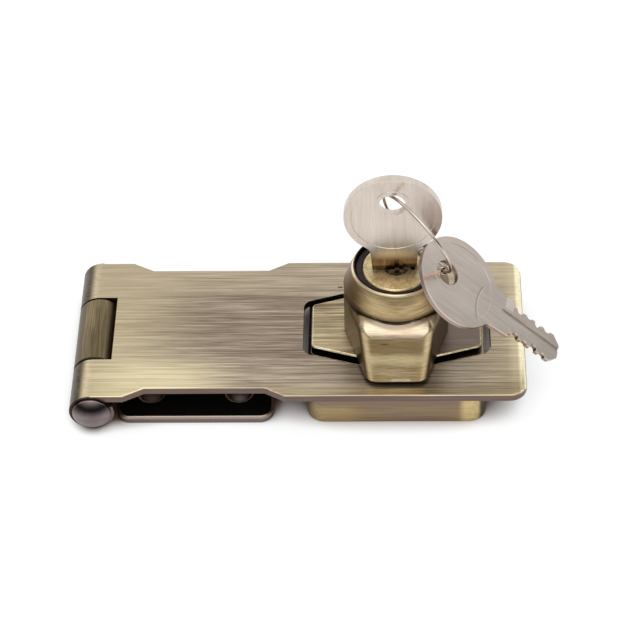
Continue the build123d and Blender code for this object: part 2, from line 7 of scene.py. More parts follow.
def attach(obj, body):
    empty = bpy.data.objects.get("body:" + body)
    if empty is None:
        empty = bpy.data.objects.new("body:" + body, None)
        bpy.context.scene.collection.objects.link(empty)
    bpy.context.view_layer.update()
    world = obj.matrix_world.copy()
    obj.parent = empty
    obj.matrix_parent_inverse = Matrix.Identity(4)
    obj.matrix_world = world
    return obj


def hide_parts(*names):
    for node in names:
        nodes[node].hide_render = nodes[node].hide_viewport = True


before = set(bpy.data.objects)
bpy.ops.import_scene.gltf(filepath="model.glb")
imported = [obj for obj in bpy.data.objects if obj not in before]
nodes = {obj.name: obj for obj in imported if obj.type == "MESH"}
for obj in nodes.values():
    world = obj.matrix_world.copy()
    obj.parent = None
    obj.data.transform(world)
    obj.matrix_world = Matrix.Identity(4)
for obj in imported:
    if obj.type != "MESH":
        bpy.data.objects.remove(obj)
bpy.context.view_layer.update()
mm = 0.001

# Twist-knob locking hasp in brushed antique brass, with two nickel keys on a wire ring


def toLinear(hexColour, alpha=1.0):
    channels = [int(hexColour[i:i + 2], 16) / 255 for i in (1, 3, 5)]
    linear = [c / 12.92 if c <= 0.04045 else ((c + 0.055) / 1.055) ** 2.4 for c in channels]
    return (*linear, alpha)


def addNode(tree, kind, settings=None, values=None, links=None, ramp=None):
    node = tree.nodes.new(kind)
    for key, value in (settings or {}).items():
        setattr(node, key, value)
    for key, value in (values or {}).items():
        node.inputs[key].default_value = value
    for key, socket in (links or {}).items():
        tree.links.new(socket, node.inputs[key])
    if ramp:
        stops = node.color_ramp.elements
        while len(stops) < len(ramp):
            stops.new(0.5)
        for stop, (place, colour) in zip(stops, ramp):
            stop.position = place
            stop.color = toLinear(colour)
    return node


def newMaterial(name):
    material = bpy.data.materials.new(name)
    material.use_nodes = True
    tree = material.node_tree
    tree.nodes.clear()
    shader = addNode(tree, "ShaderNodeBsdfPrincipled")
    addNode(tree, "ShaderNodeOutputMaterial", links={"Surface": shader.outputs[0]})
    return material, tree, shader


# Spinning and merging leave points and faces in an order that changes from run to run, so it is set by place
def sortByPlace(mesh):
    for elements, placeOf in ((mesh.verts, lambda vert: vert.co[:]),
                              (mesh.faces, lambda face: (*face.calc_center_median(), face.calc_area()))):
        for index, element in enumerate(sorted(elements, key=placeOf)):
            element.index = index
        elements.sort()


def finishPiece(name, mesh, material, body=None, replaced=(), scale=mm, smoothAngle=30.0):
    if scale != 1.0:
        bmesh.ops.scale(mesh, vec=(scale, scale, scale), verts=mesh.verts)
    sortByPlace(mesh)
    data = bpy.data.meshes.new(name)
    mesh.to_mesh(data)
    mesh.free()
    piece = bpy.data.objects.new(name, data)
    bpy.context.scene.collection.objects.link(piece)
    data.materials.append(material)
    data.shade_smooth()
    data.set_sharp_from_angle(angle=math.radians(smoothAngle))
    if body:
        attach(piece, body)
    if replaced:
        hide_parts(*replaced)
    return piece


# Camera: a long lens, three-quarter from above the front
cameraSettings = {
    "target": (-17.644, 12.333, 0.0),
    "distance": 579.614,
    "elevation": 45.0,
    "yaw": -2.12,
    "roll": -1.748,
    "lens": 140.21,
    "sensor": 36.0,
    "clip": (0.01, 20.0),
}


def makeCamera(s):
    yaw, lift, roll = (math.radians(s[k]) for k in ("yaw", "elevation", "roll"))
    forward = Vector((math.sin(yaw) * math.cos(lift), math.cos(yaw) * math.cos(lift), -math.sin(lift)))
    right = Vector((math.cos(yaw), -math.sin(yaw), 0.0))
    up = right.cross(forward)
    turnedRight = right * math.cos(roll) + up * math.sin(roll)
    turnedUp = up * math.cos(roll) - right * math.sin(roll)
    data = bpy.data.cameras.new("photoCamera")
    data.lens = s["lens"]
    data.sensor_width = s["sensor"]
    data.clip_start, data.clip_end = s["clip"]
    camera = bpy.data.objects.new("photoCamera", data)
    bpy.context.scene.collection.objects.link(camera)
    place = (Vector(s["target"]) - forward * s["distance"]) * mm
    turn = Matrix((turnedRight, turnedUp, -forward)).transposed().to_4x4()
    camera.matrix_world = Matrix.Translation(place) @ turn
    bpy.context.scene.camera = camera


makeCamera(cameraSettings)
print("camera set")


# Studio: white paper, a big lamp above the front, a small one above the back, and dark cards low down
# in front and at the sides that give the metal its contrast
studioSettings = {
    "floorSize": 6.0,
    "floorColour": "#C9C9C9",
    "floorRoughness": 0.9,
    "floorLift": 0.6,               # makes the paper white to the camera and in reflections
    "shadeReach": 12.0,             # and fades out this near to the part, which keeps its shadow
    "shadeSamples": 32,
    "shadeFrom": 0.24,
    "shadeTo": 0.64,
    "shadeColour": "#7E6250",       # painted shade: paper deep in a gap turns brown, as if lit by the brass round it
    "worldStrength": 0.62,
    "keyPlace": (0.05, -0.42, 0.78),
    "keySize": 0.9,
    "keyPower": 2.9,
    "keyAim": (0.0, 0.0, 0.0),
    "fillPlace": (-0.55, 0.35, 0.6),
    "fillSize": 0.6,
    "fillPower": 0.5,
    "fillAim": (-0.02, 0.0, 0.0),
    "cardRadius": 1.1,
    "cardHeight": 0.4,
    "cardColour": "#26221F",
    "cardSweep": 236.0,
    "cardSteps": 48,
}


def softLamp(name, place, size, power, aim):
    data = bpy.data.lights.new(name, "AREA")
    data.shape = "SQUARE"
    data.size = size
    data.energy = power
    lamp = bpy.data.objects.new(name, data)
    bpy.context.scene.collection.objects.link(lamp)
    way = Vector(aim) - Vector(place)
    lamp.matrix_world = Matrix.Translation(place) @ way.to_track_quat("-Z", "Y").to_matrix().to_4x4()


# 1 for what the camera sees straight, mirrored or through glass, and 0 for the light on the part
def seenByCamera(tree):
    ray = addNode(tree, "ShaderNodeLightPath")
    seen = addNode(tree, "ShaderNodeMath", {"operation": "MAXIMUM"}, None,
                   {0: ray.outputs["Is Camera Ray"], 1: ray.outputs["Is Glossy Ray"]})
    seen = addNode(tree, "ShaderNodeMath", {"operation": "MAXIMUM"}, None,
                   {0: seen.outputs[0], 1: ray.outputs["Is Transmission Ray"]})
    return seen.outputs[0]


def makeFloor(s):
    material, tree, shader = newMaterial("paperFloor")
    shader.inputs["Roughness"].default_value = s["floorRoughness"]
    shader.inputs["Specular IOR Level"].default_value = 0.0
    shader.inputs["Emission Color"].default_value = (1.0, 1.0, 1.0, 1.0)
    near = addNode(tree, "ShaderNodeAmbientOcclusion", {"samples": s["shadeSamples"]},
                   {"Distance": s["shadeReach"] * mm})
    clear = addNode(tree, "ShaderNodeMapRange", None,
                    {"From Min": s["shadeFrom"], "From Max": s["shadeTo"]}, {"Value": near.outputs["AO"]})
    # painted shade: where the part hems the paper in, its colour turns to the shade colour
    paper = addNode(tree, "ShaderNodeMix", {"data_type": "RGBA"},
                    {"A": toLinear(s["shadeColour"]), "B": toLinear(s["floorColour"])},
                    {"Factor": clear.outputs[0]})
    tree.links.new(paper.outputs["Result"], shader.inputs["Base Color"])
    seen = addNode(tree, "ShaderNodeMath", {"operation": "MULTIPLY"}, None,
                   {0: seenByCamera(tree), 1: clear.outputs[0]})
    lift = addNode(tree, "ShaderNodeMath", {"operation": "MULTIPLY"}, {1: s["floorLift"]},
                   {0: seen.outputs[0]})
    tree.links.new(lift.outputs[0], shader.inputs["Emission Strength"])
    mesh = bmesh.new()
    bmesh.ops.create_grid(mesh, x_segments=1, y_segments=1, size=s["floorSize"] / 2)
    finishPiece("floor", mesh, material, scale=1.0)


def makeWorld(s):
    world = bpy.data.worlds.new("studio")
    bpy.context.scene.world = world
    world.use_nodes = True
    tree = world.node_tree
    tree.nodes.clear()
    level = addNode(tree, "ShaderNodeMapRange", None, {"To Min": s["worldStrength"], "To Max": 1.0},
                    {"Value": seenByCamera(tree)})
    light = addNode(tree, "ShaderNodeBackground", None, {"Color": (1.0, 1.0, 1.0, 1.0)},
                    {"Strength": level.outputs[0]})
    addNode(tree, "ShaderNodeOutputWorld", links={"Surface": light.outputs[0]})


def makeCards(s):
    material, tree, shader = newMaterial("blackCard")
    shader.inputs["Base Color"].default_value = toLinear(s["cardColour"])
    shader.inputs["Roughness"].default_value = 1.0
    mesh = bmesh.new()
    start = math.radians(-90.0 - s["cardSweep"] / 2)
    foot = Vector((math.cos(start), math.sin(start), 0.0)) * s["cardRadius"]
    corners = [mesh.verts.new(foot), mesh.verts.new(foot + Vector((0.0, 0.0, s["cardHeight"])))]
    edge = mesh.edges.new(corners)
    bmesh.ops.spin(mesh, geom=[edge, *corners], cent=(0.0, 0.0, 0.0), axis=(0.0, 0.0, 1.0),
                   angle=math.radians(s["cardSweep"]), steps=s["cardSteps"],
                   use_merge=False, use_duplicate=False)
    card = finishPiece("cards", mesh, material, scale=1.0)
    card.visible_camera = False
    card.visible_diffuse = False
    card.visible_shadow = False


bpy.context.scene.view_settings.view_transform = "Standard"
makeFloor(studioSettings)
makeWorld(studioSettings)
makeCards(studioSettings)
for lamp in ("key", "fill"):
    softLamp(lamp + "Lamp", *(studioSettings[lamp + part] for part in ("Place", "Size", "Power", "Aim")))
print("studio set")


# Noise has most of its values near the middle, so each pattern is cut from a part of its range
patternSettings = {
    "fineNoise": (4.0, 0.62),       # detail and roughness
    "longNoise": (3.0, 0.55),
    "cloudNoise": (2.0, 0.5),
    "dashRange": (0.56, 0.7),
    "patchRange": (0.34, 0.58),
    "patchLow": 0.65,               # what is left of wear and of the zones, painted highlights and shade among them, where the tone is low
    "grainRange": (0.36, 0.64),
}


# Noise drawn out to streaks, given by their length along the three axes in millimetres
def streakNoise(tree, place, size, kind):
    detail, roughness = patternSettings[kind]
    stretch = addNode(tree, "ShaderNodeMapping", None, {"Scale": [1.0 / length for length in size]},
                      {"Vector": place})
    noise = addNode(tree, "ShaderNodeTexNoise", None,
                    {"Scale": 1.0, "Detail": detail, "Roughness": roughness}, {"Vector": stretch.outputs[0]})
    return noise.outputs["Fac"]


# A zone is a list of bands: what is measured, from where, to where, and how soft its ends are. Its mask is
# 1 inside all of its bands. Places are in millimetres and normals go from -1 to 1
def zoneMask(tree, sockets, bands):
    mask = None
    for key, low, high, soft in bands:
        rise = addNode(tree, "ShaderNodeMapRange", {"interpolation_type": "SMOOTHSTEP"},
                       {"From Min": low - soft, "From Max": low + soft}, {"Value": sockets[key]})
        fall = addNode(tree, "ShaderNodeMapRange", {"interpolation_type": "SMOOTHSTEP"},
                       {"From Min": high - soft, "From Max": high + soft, "To Min": 1.0, "To Max": 0.0},
                       {"Value": sockets[key]})
        both = addNode(tree, "ShaderNodeMath", {"operation": "MULTIPLY"}, None,
                       {0: rise.outputs[0], 1: fall.outputs[0]})
        if mask:
            both = addNode(tree, "ShaderNodeMath", {"operation": "MULTIPLY"}, None,
                           {0: mask, 1: both.outputs[0]})
        mask = both.outputs[0]
    return mask


def paintOver(tree, below, colour, mask, amount):
    share = addNode(tree, "ShaderNodeMath", {"operation": "MULTIPLY"}, {1: amount}, {0: mask})
    mixed = addNode(tree, "ShaderNodeMix", {"data_type": "RGBA"}, {"B": toLinear(colour)},
                    {"Factor": share.outputs[0], "A": below})
    return mixed.outputs["Result"]


# What a finish has where it doesn't say otherwise
plainFinish = {
    "longShare": 0.45,
    "cloudShare": 0.25,
    "faces": (),
    "faceStreak": 0.45,
    "wearAmount": 0.85,
    "zones": (),
    "bumpDepth": 0.03,
}


# Brushed plated metal. Streaks of tone run one way, and dashes are its deeper scratches. Faces give whole
# sides their own colour, on many of them a painted shade or painted reflection. The edgeWear attribute marks
# edges that are rubbed through to bare metal, and zones hold painted highlights, shade and reflections, and
# nicks and chips
def brushedMetal(name, finish):
    s = {**plainFinish, **finish}
    material, tree, shader = newMaterial(name)
    coords = addNode(tree, "ShaderNodeTexCoord")
    source = coords.outputs["Object"]
    if s.get("attribute"):
        source = addNode(tree, "ShaderNodeAttribute", {"attribute_name": s["attribute"]}).outputs["Vector"]
    place = addNode(tree, "ShaderNodeVectorMath", {"operation": "SCALE"}, {"Scale": 1.0 / mm}, {0: source})
    place = place.outputs[0]
    spot = addNode(tree, "ShaderNodeSeparateXYZ", None, None, {"Vector": place})
    facing = addNode(tree, "ShaderNodeSeparateXYZ", None, None, {"Vector": coords.outputs["Normal"]})
    sockets = {axis: spot.outputs[axis] for axis in "XYZ"}
    sockets.update({"normal" + axis: facing.outputs[axis] for axis in "XYZ"})
    for label, socket in (("sideways", facing.outputs["X"]), ("absY", spot.outputs["Y"]),
                          ("lengthways", facing.outputs["Y"])):
        unsigned = addNode(tree, "ShaderNodeMath", {"operation": "ABSOLUTE"}, None, {0: socket})
        sockets[label] = unsigned.outputs[0]
    flat = addNode(tree, "ShaderNodeCombineXYZ", None, None,
                   {"X": spot.outputs["X"], "Y": spot.outputs["Y"]})
    sockets["radius"] = addNode(tree, "ShaderNodeVectorMath", {"operation": "LENGTH"}, None,
                                {0: flat.outputs[0]}).outputs["Value"]
    if s.get("arcCentre"):
        away = addNode(tree, "ShaderNodeVectorMath", {"operation": "SUBTRACT"}, {1: (*s["arcCentre"], 0.0)},
                       {0: flat.outputs[0]})
        sockets["arc"] = addNode(tree, "ShaderNodeVectorMath", {"operation": "LENGTH"}, None,
                                 {0: away.outputs[0]}).outputs["Value"]

    fine = streakNoise(tree, place, s["fineStreak"], "fineNoise")
    long = streakNoise(tree, place, s["longStreak"], "longNoise")
    cloud = streakNoise(tree, place, s["cloud"], "cloudNoise")
    streak = addNode(tree, "ShaderNodeMix", {"data_type": "FLOAT"}, {"Factor": s["longShare"]},
                     {"A": fine, "B": long}).outputs["Result"]
    tone = addNode(tree, "ShaderNodeMix", {"data_type": "FLOAT"}, {"Factor": s["cloudShare"]},
                   {"A": streak, "B": cloud}).outputs["Result"]
    colour = addNode(tree, "ShaderNodeValToRGB", None, None, {"Fac": tone}, ramp=s["toneRamp"])
    colour = colour.outputs["Color"]
    if s.get("dashes"):
        size, paint, amount = s["dashes"]
        low, high = patternSettings["dashRange"]
        dash = addNode(tree, "ShaderNodeMapRange", None, {"From Min": low, "From Max": high},
                       {"Value": streakNoise(tree, place, size, "cloudNoise")})
        colour = paintOver(tree, colour, paint, dash.outputs[0], amount)
    for bands, paint, amount in s["faces"]:
        mask = zoneMask(tree, sockets, bands)
        dimmed = addNode(tree, "ShaderNodeMix", {"data_type": "RGBA", "blend_type": "MULTIPLY"},
                         {"Factor": s["faceStreak"], "A": toLinear(paint)}, {"B": colour})
        share = addNode(tree, "ShaderNodeMath", {"operation": "MULTIPLY"}, {1: amount}, {0: mask})
        colour = addNode(tree, "ShaderNodeMix", {"data_type": "RGBA"}, None,
                         {"Factor": share.outputs[0], "A": colour, "B": dimmed.outputs["Result"]})
        colour = colour.outputs["Result"]
    low, high = patternSettings["patchRange"]
    patchy = addNode(tree, "ShaderNodeMapRange", None,
                     {"From Min": low, "From Max": high, "To Min": patternSettings["patchLow"]},
                     {"Value": tone}).outputs[0]
    wear = addNode(tree, "ShaderNodeAttribute", {"attribute_name": "edgeWear"})
    rubbed = addNode(tree, "ShaderNodeMath", {"operation": "MULTIPLY"}, None,
                     {0: wear.outputs["Fac"], 1: patchy})
    colour = paintOver(tree, colour, s["wearColour"], rubbed.outputs[0], s["wearAmount"])
    for bands, paint, amount in s["zones"]:
        mask = zoneMask(tree, sockets, bands)
        broken = addNode(tree, "ShaderNodeMath", {"operation": "MULTIPLY"}, None, {0: mask, 1: patchy})
        colour = paintOver(tree, colour, paint, broken.outputs[0], amount)
    if s.get("overStreak"):
        low, high = patternSettings["grainRange"]
        dim, bright = s["overStreak"]
        grain = addNode(tree, "ShaderNodeMapRange", None,
                        {"From Min": low, "From Max": high, "To Min": dim, "To Max": bright},
                        {"Value": fine})
        colour = addNode(tree, "ShaderNodeVectorMath", {"operation": "SCALE"}, None,
                         {0: colour, "Scale": grain.outputs[0]}).outputs[0]
    rough = addNode(tree, "ShaderNodeMapRange", None,
                    {"To Min": s["roughness"][0], "To Max": s["roughness"][1]}, {"Value": fine})
    bump = addNode(tree, "ShaderNodeBump", None,
                   {"Strength": s["bump"], "Distance": s["bumpDepth"] * mm}, {"Height": streak})
    shader.inputs["Metallic"].default_value = 1.0
    tree.links.new(colour, shader.inputs["Base Color"])
    tree.links.new(rough.outputs[0], shader.inputs["Roughness"])
    tree.links.new(bump.outputs[0], shader.inputs["Normal"])
    return material


easedSettings = {
    "sameSpot": 0.000001,           # metres
    "flatAngle": 0.4,               # the solid's triangles join to one face below this turn
    "sharpAngle": 28.0,             # and an edge is eased above this one
    "segments": 3,
    "noLength": 0.0000001,          # metres, of the edges that easing leaves where it has no room
}


# A copy of a CAD node with its sharp edges eased, so that they catch the light as rubbed edges do. reshape
# works on the mesh before that, and frameOf gives it the keySpot attribute, a place in the key's own frame
def easedCopy(node, name, material, body, width, frameOf=None, reshape=None):
    s = easedSettings
    mesh = bmesh.new()
    mesh.from_mesh(nodes[node].data)
    bmesh.ops.remove_doubles(mesh, verts=mesh.verts, dist=s["sameSpot"])
    bmesh.ops.dissolve_limit(mesh, angle_limit=math.radians(s["flatAngle"]), verts=mesh.verts,
                             edges=mesh.edges)
    if reshape:
        reshape(mesh)
    sharp = [e for e in mesh.edges
             if len(e.link_faces) == 2 and e.calc_face_angle(0.0) > math.radians(s["sharpAngle"])]
    layer = mesh.faces.layers.float.new("edgeWear")
    made = bmesh.ops.bevel(mesh, geom=sharp, offset=width * mm, offset_type="OFFSET", profile=0.5,
                           segments=s["segments"], affect="EDGES", clamp_overlap=True, material=-1)
    for face in made["faces"]:
        face[layer] = 1.0
    bmesh.ops.remove_doubles(mesh, verts=mesh.verts, dist=s["noLength"])
    if frameOf:
        spots = mesh.verts.layers.float_vector.new("keySpot")
        inverse = frameOf.inverted()
        for vert in mesh.verts:
            vert[spots] = inverse @ vert.co
    piece = finishPiece(name, mesh, material, body, (node,), scale=1.0)
    flatten = piece.modifiers.new("flatFaces", "WEIGHTED_NORMAL")
    flatten.weight = 100            # big flats stay flat beside the eased edges
    flatten.keep_sharp = True
    return piece


# Strap: antique brass plate over steel, brushed along its length. That leaves dark hairlines on mauve-brown
# metal, yellower towards the hinge and the edges, bare bright rubbing along the edges, and a painted
# highlight on the free end
strapFinish = {
    "fineStreak": (16.0, 0.3, 0.3),
    "longStreak": (60.0, 0.8, 0.8),
    "longShare": 0.35,
    "overStreak": (0.92, 1.08),
    "cloud": (34.0, 13.0, 13.0),
    "cloudShare": 0.22,
    "toneRamp": [(0.34, "#6A5A4A"), (0.44, "#8A7A6A"), (0.53, "#A69886"), (0.64, "#CBBDA1")],
    "dashes": ((7.0, 0.26, 0.26), "#4C3E31", 0.42),
    "faces": [
        # the plate's edge, then its underside, painted dark as shade
        ([("normalZ", -1.2, 0.35, 0.25)], "#85756F", 1.0),
        ([("normalZ", -1.2, -0.6, 0.2)], "#3A332D", 1.0),
    ],
    "zones": [
        # yellower towards the hinge, the free end and the long edges
        ([("X", -80.0, -52.0, 12.0), ("normalZ", 0.2, 1.2, 0.2)], "#CDBE98", 0.6),
        ([("X", -66.0, -40.0, 8.0), ("Y", -23.0, -11.0, 3.0), ("normalZ", 0.5, 1.2, 0.2)], "#F2E4BA", 0.62),
        ([("X", 20.0, 30.0, 5.0), ("normalZ", 0.2, 1.2, 0.2)], "#C4B692", 0.4),
        ([("X", 25.6, 30.0, 1.4), ("normalZ", 0.2, 1.2, 0.2)], "#DDD0A8", 0.6),
        ([("Y", -23.0, -18.4, 1.6), ("normalZ", 0.5, 1.2, 0.2)], "#C2B28D", 0.45),
        ([("Y", 11.0, 23.0, 4.0), ("normalZ", 0.5, 1.2, 0.2)], "#C0B197", 0.5),
        # a painted highlight on the free end's rounding, and painted shade on its very edge and on the
        # outside of the knuckles
        ([("X", 27.3, 30.0, 0.4), ("normalZ", 0.3, 1.2, 0.1)], "#FFF6D2", 1.0),
        ([("X", 28.6, 30.0, 0.08)], "#5E5240", 1.0),
        ([("X", -80.0, -69.9, 0.9)], "#2C2216", 1.0),
        # painted shade on the end of the slot, and one nick
        ([("X", 20.8, 21.2, 0.05), ("Y", -6.4, 7.8, 0.5)], "#241C16", 0.95),
        ([("X", -13.3, -12.2, 0.15), ("Y", 12.75, 13.2, 0.12), ("normalZ", 0.5, 1.2, 0.2)], "#1C140E",
         1.0),
    ],
    "wearColour": "#E8DBB6",
    "roughness": (0.28, 0.42),
    "bump": 0.2,
}

easedCopy("hinge_strap", "strapPlate", brushedMetal("brushedAntiqueBrassStrap", strapFinish),
          "strap", 0.16)


# Lock base: zinc casting in the same plating. The boss is brushed with the strap, the block under it is
# brown with painted shade below the strap, and the slot round the boss is painted black as shade
baseFinish = {
    "fineStreak": (14.0, 0.3, 0.3),
    "longStreak": (40.0, 0.8, 1.2),
    "overStreak": (0.84, 1.14),
    "cloud": (22.0, 12.0, 12.0),
    "toneRamp": [(0.34, "#6A5A44"), (0.44, "#97876B"), (0.53, "#BAAA88"), (0.64, "#DCCCA4")],
    "dashes": ((4.5, 0.26, 0.3), "#5D4D3B", 0.5),
    "faces": [
        # the block's sides; painted shade on the boss's sides and the block's top down in the slot; painted
        # light on the block's top at the slot's end
        ([("normalZ", -1.2, 0.35, 0.25), ("Z", -1.0, 8.2, 0.2)], "#B09B7C", 1.0),
        ([("normalZ", -1.2, 0.35, 0.25), ("Z", 8.2, 12.0, 0.2)], "#2A2420", 1.0),
        ([("normalZ", 0.4, 1.2, 0.2), ("Z", 7.0, 8.4, 0.2)], "#14100D", 1.0),
        ([("normalZ", 0.4, 1.2, 0.2), ("Z", 7.0, 8.4, 0.2), ("X", 19.3, 23.0, 0.15)], "#C0ABA2", 1.0),
    ],
    "zones": [
        # a painted shadow of the strap across the block's upper part, brown in the middle, golden to its
        # left, and a painted highlight near its right corner
        ([("Z", 4.2, 8.4, 1.4), ("normalZ", -1.2, 0.4, 0.3)], "#806C62", 0.75),
        ([("Z", -1.0, 4.4, 1.4), ("X", -6.0, 12.0, 6.0), ("normalZ", -1.2, 0.4, 0.3)], "#8A7868", 0.6),
        ([("Z", -1.0, 5.0, 1.6), ("X", -20.0, -9.0, 3.0), ("normalZ", -1.2, 0.4, 0.3)], "#B8A270", 0.5),
        ([("X", 14.4, 20.0, 1.0), ("normalX", -0.1, 0.62, 0.1), ("Z", -1.0, 8.1, 0.2)], "#DCC690", 0.8),
        # painted shade on its right end and on the right part of the boss's top
        ([("X", 17.0, 22.0, 0.4), ("normalX", 0.68, 1.2, 0.08), ("Z", -1.0, 8.4, 0.5)], "#3E3426", 0.9),
        ([("X", 8.0, 22.0, 3.0), ("Z", 9.0, 12.0, 0.3), ("normalZ", 0.9, 1.2, 0.03)], "#6F625C", 1.0),
    ],
    "wearColour": "#F0E5C0",
    "roughness": (0.3, 0.44),
    "bump": 0.14,
}

easedCopy("lock_base", "lockBlock", brushedMetal("brushedAntiqueBrassBase", baseFinish),
          "strap", 0.16)
print("strap and base dressed")


# Knob: the same plating on a casting, brushed round the barrel and across the foot. The shoulder carries a
# pinkish painted highlight, the side faces are painted darker as shade, and the rim holds a thin painted
# highlight
knobFinish = {
    "fineStreak": (4.0, 4.0, 0.2),
    "longStreak": (12.0, 12.0, 0.6),
    "longShare": 0.35,
    "overStreak": (0.86, 1.06),
    "cloud": (9.0, 9.0, 4.0),
    "cloudShare": 0.35,
    "toneRamp": [(0.33, "#9E865C"), (0.44, "#B89F73"), (0.54, "#CCB58A"), (0.66, "#E2CDA2")],
    "dashes": ((2.5, 2.5, 0.17), "#7C6646", 0.3),
    "faces": [
        # painted shade on the sides, then the bore
        ([("sideways", 0.62, 1.2, 0.22), ("Z", 8.0, 28.9, 0.5)], "#6E5A40", 0.92),
        ([("radius", 0.0, 9.5, 0.04), ("Z", 27.5, 31.0, 0.2)], "#2A2220", 1.0),
    ],
    "zones": [
        # the rim's painted highlight, and painted shade at the foot of the barrel
        ([("radius", 9.56, 9.9, 0.04), ("Z", 29.0, 29.65, 0.05)], "#F8EACB", 1.0),
        ([("radius", 11.0, 12.3, 0.1), ("Z", 22.0, 24.3, 0.55)], "#66523A", 0.85),
        # a painted highlight on the shoulder, a painted brown reflection under it, a painted highlight band
        # under that, and painted highlights on the front's edges
        ([("absY", 11.0, 15.0, 0.7), ("Z", 20.0, 23.6, 0.5), ("normalZ", 0.5, 0.99, 0.1)], "#D9C9B6", 0.7),
        ([("absY", 11.0, 16.8, 1.0), ("Z", 17.2, 20.2, 0.6), ("sideways", -0.1, 0.3, 0.1)], "#8A7048",
         0.6),
        ([("absY", 14.0, 17.4, 0.5), ("Z", 14.8, 16.6, 0.7), ("sideways", -0.1, 0.3, 0.1)], "#F6E3B2",
         0.8),
        ([("sideways", 0.25, 0.72, 0.14), ("absY", 10.0, 20.0, 1.0), ("Z", 11.0, 22.5, 0.4)], "#DCCBA2",
         0.7),
        # grey round the barrel's foot, specks and chips on the front, and painted shade as a black line in
        # the crease at the foot
        ([("radius", 11.9, 12.9, 0.3), ("Z", 21.4, 23.3, 0.3), ("normalZ", 0.7, 1.2, 0.1)], "#857663",
         0.8),
        ([("X", -3.5, -1.8, 0.3), ("Z", 19.15, 19.4, 0.12), ("Y", -20.0, -12.0, 0.5)], "#4A3824", 0.8),
        ([("X", -1.2, 3.0, 0.4), ("Z", 11.15, 11.7, 0.15), ("Y", -20.0, -16.0, 0.5)], "#F8ECCC", 0.8),
        ([("radius", 11.4, 11.95, 0.08), ("Z", 22.1, 23.4, 0.12)], "#17100C", 1.0),
    ],
    "wearColour": "#F2E6C2",
    "roughness": (0.3, 0.44),
    "bump": 0.14,
}

# The shoulder at the front and back of the foot is rounder than the solid's
shoulderSettings = {
    "top": 23.2,
    "bottom": 16.0,
    "reach": 12.8,                  # where the top and the sloping front would meet
    "turn": 66.1,
    "radius": 5.4,
    "cuts": (13.9, 14.1, 14.25),    # rows of points for the curve
    "barrelRadius": 11.75,
    "play": 0.05,
}


def roundShoulder(mesh):
    s = shoulderSettings
    for reach in s["cuts"]:
        for side in (-1, 1):
            bmesh.ops.bisect_plane(mesh, geom=[*mesh.verts, *mesh.edges, *mesh.faces],
                                   dist=easedSettings["sameSpot"], plane_no=(0.0, 1.0, 0.0),
                                   plane_co=(0.0, side * reach * mm, 0.0))
    turn = math.radians(s["turn"])
    start = s["reach"] - s["radius"] * math.tan(turn / 2)
    end = start + s["radius"] * math.sin(turn)
    for vert in mesh.verts:
        along = abs(vert.co.y) / mm
        height = vert.co.z / mm
        outside = math.hypot(vert.co.x, vert.co.y) / mm > s["barrelRadius"]
        top = s["top"] + (s["play"] if outside else -s["play"])     # the barrel's foot line stays
        if start < along < end and s["bottom"] < height < top:
            dip = s["radius"] - math.sqrt(s["radius"] ** 2 - (along - start) ** 2)
            vert.co.z = min(height, s["top"] - dip) * mm


easedCopy("knob", "twistKnob", brushedMetal("brushedAntiqueBrassKnob", knobFinish),
          "knob", 0.22, reshape=roundShoulder)


# Plug: plain brass with the grain of a fine sand casting, with painted shade down in the dish and the keyway
plugFinish = {
    "fineStreak": (0.4, 0.4, 0.4),
    "longStreak": (1.1, 1.1, 1.1),
    "cloud": (5.0, 5.0, 5.0),
    "toneRamp": [(0.34, "#94825A"), (0.48, "#C0AE80"), (0.64, "#E6D8AE")],
    "faces": [
        ([("Z", -5.0, 28.75, 0.12), ("radius", 0.0, 7.0, 0.1)], "#463A2C", 1.0),
    ],
    "wearColour": "#F2E8BE",
    "roughness": (0.32, 0.46),
    "bump": 0.35,
    "bumpDepth": 0.06,
}

plugBrass = brushedMetal("castBrassPlug", plugFinish)
easedCopy("plug", "plugFace", plugBrass, "plug", 0.07)

# Shell of the cylinder and the hidden hardware: plain zinc and steel, dark
shellFinish = {
    "fineStreak": (1.0, 1.0, 1.0),
    "longStreak": (3.0, 3.0, 3.0),
    "cloud": (8.0, 8.0, 8.0),
    "toneRamp": [(0.3, "#2C2625"), (0.5, "#3A3231"), (0.7, "#4C4341")],
    "wearColour": "#5A504C",
    "roughness": (0.34, 0.5),
    "bump": 0.1,
}

shellMetal = brushedMetal("darkZincCasting", shellFinish)
print("knob and plug dressed")


# Keys: stamped blanks, nickel plated over brass. Their faces carry fine scratches. The first key's shank
# carries a painted reflection of the brass below it, and the second's cut edges show a coppery tint
keyFinish = {
    "attribute": "keySpot",
    "fineStreak": (6.0, 0.3, 2.0),
    "longStreak": (12.0, 1.2, 3.0),
    "cloud": (14.0, 10.0, 4.0),
    "toneRamp": [(0.34, "#C5B9AF"), (0.5, "#D3C7BC"), (0.66, "#E0D6CC")],
    "wearColour": "#E9E0D8",
    "wearAmount": 0.4,
    "roughness": (0.26, 0.38),
    "bump": 0.1,
}
keyOneZones = [
    # a painted reflection of the brass on the shank, and painted shade at its end
    ([("X", 11.4, 15.4, 1.4), ("X", 0.0, 15.4, 0.1)], "#654A2E", 0.95),
    ([("X", 14.1, 15.4, 0.3), ("X", 0.0, 15.4, 0.1)], "#3A2C1A", 1.0),
]
creaseBands = [("Z", 0.72, 2.0, 0.04), ("Y", -6.3, 2.8, 0.6), ("X", 0.0, 9.0, 0.5)]
creaseCentre = (15.27, -1.33)       # the crease's painted highlight across the second bow is an arc about this point
